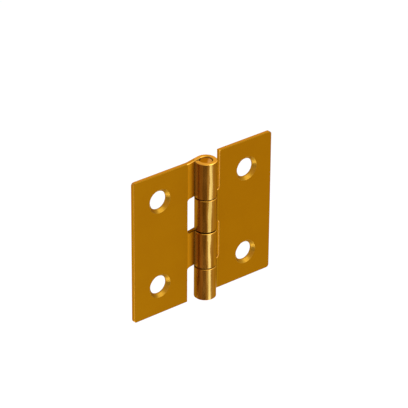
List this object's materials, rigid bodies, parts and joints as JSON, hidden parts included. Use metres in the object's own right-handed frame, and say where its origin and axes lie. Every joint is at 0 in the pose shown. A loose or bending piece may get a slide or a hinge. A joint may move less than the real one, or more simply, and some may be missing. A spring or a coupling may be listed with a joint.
{
  "type": "butt hinge",
  "caption": "Small butt hinge pressed from brass-plated sheet, open flat: notched leaves with countersunk screw holes and knuckles rolled round a plain pin.",
  "frame": {"origin": "on the pin's axis, at the middle of the barrel's length", "axes": "+X out along the right leaf, -Y towards the countersunk side where the barrel stands proud, +Z along the pin"},
  "size_m": [0.0444, 0.0058, 0.0406],
  "materials": {
    "leaf_plating": "bright lacquered plating on sheet steel",
    "pin_plating": "plated plain pin"
  },
  "bodies": {
    "fixed_leaf": {"left_leaf": "leaf_plating", "hinge_pin": "pin_plating"},
    "swinging_leaf": {"right_leaf": "leaf_plating"}
  },
  "joints": [
    {"name": "leaf_swing", "type": "hinge", "parent": "fixed_leaf", "child": "swinging_leaf", "pos_m": [0, 0, 0], "axis": [0, 0, -1], "range_deg": [-130, 180]}
  ]
}
